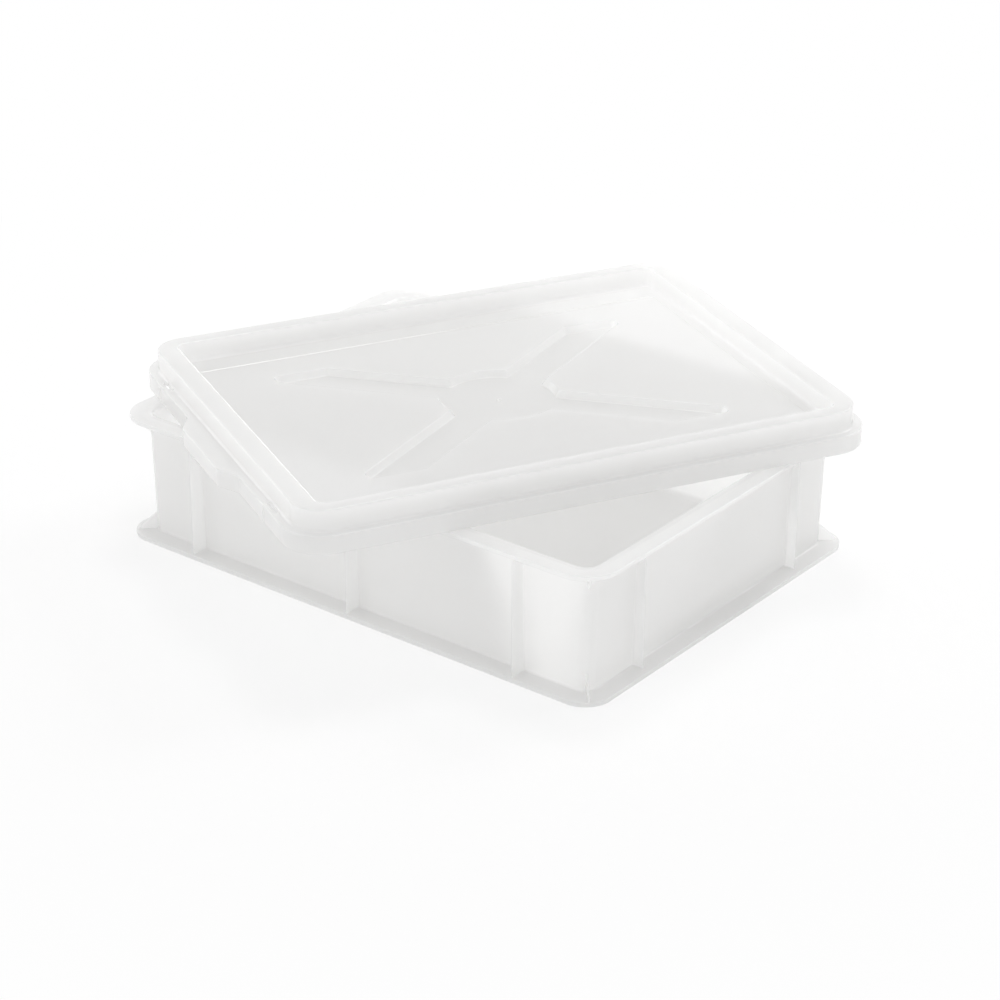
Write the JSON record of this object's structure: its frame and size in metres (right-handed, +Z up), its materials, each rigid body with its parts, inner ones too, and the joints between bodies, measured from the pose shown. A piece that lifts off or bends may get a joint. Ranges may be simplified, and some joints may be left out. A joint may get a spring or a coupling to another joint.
{
  "type": "dough proofing container",
  "caption": "Low rectangular food tub with a wide rim, a base flange and upright ribs, and a press-on lid with a raised border and a crossed recess, lying askew on the rim.",
  "frame": {"origin": "centre of the tub's underside", "axes": "+Z up, +X along the tub's long side, +Y along its short side"},
  "size_m": [0.4408, 0.4828, 0.1172],
  "materials": {
    "tub": "milky translucent polyethylene, satin",
    "lid": "milky translucent polyethylene, satin"
  },
  "bodies": {
    "tub": {"tub": "tub"},
    "lid": {"lid": "lid"}
  },
  "joints": [
    {"name": "lid_lift", "type": "slide", "parent": "tub", "child": "lid", "axis": [0, 0, 1], "range_m": [0, 0.2]}
  ]
}
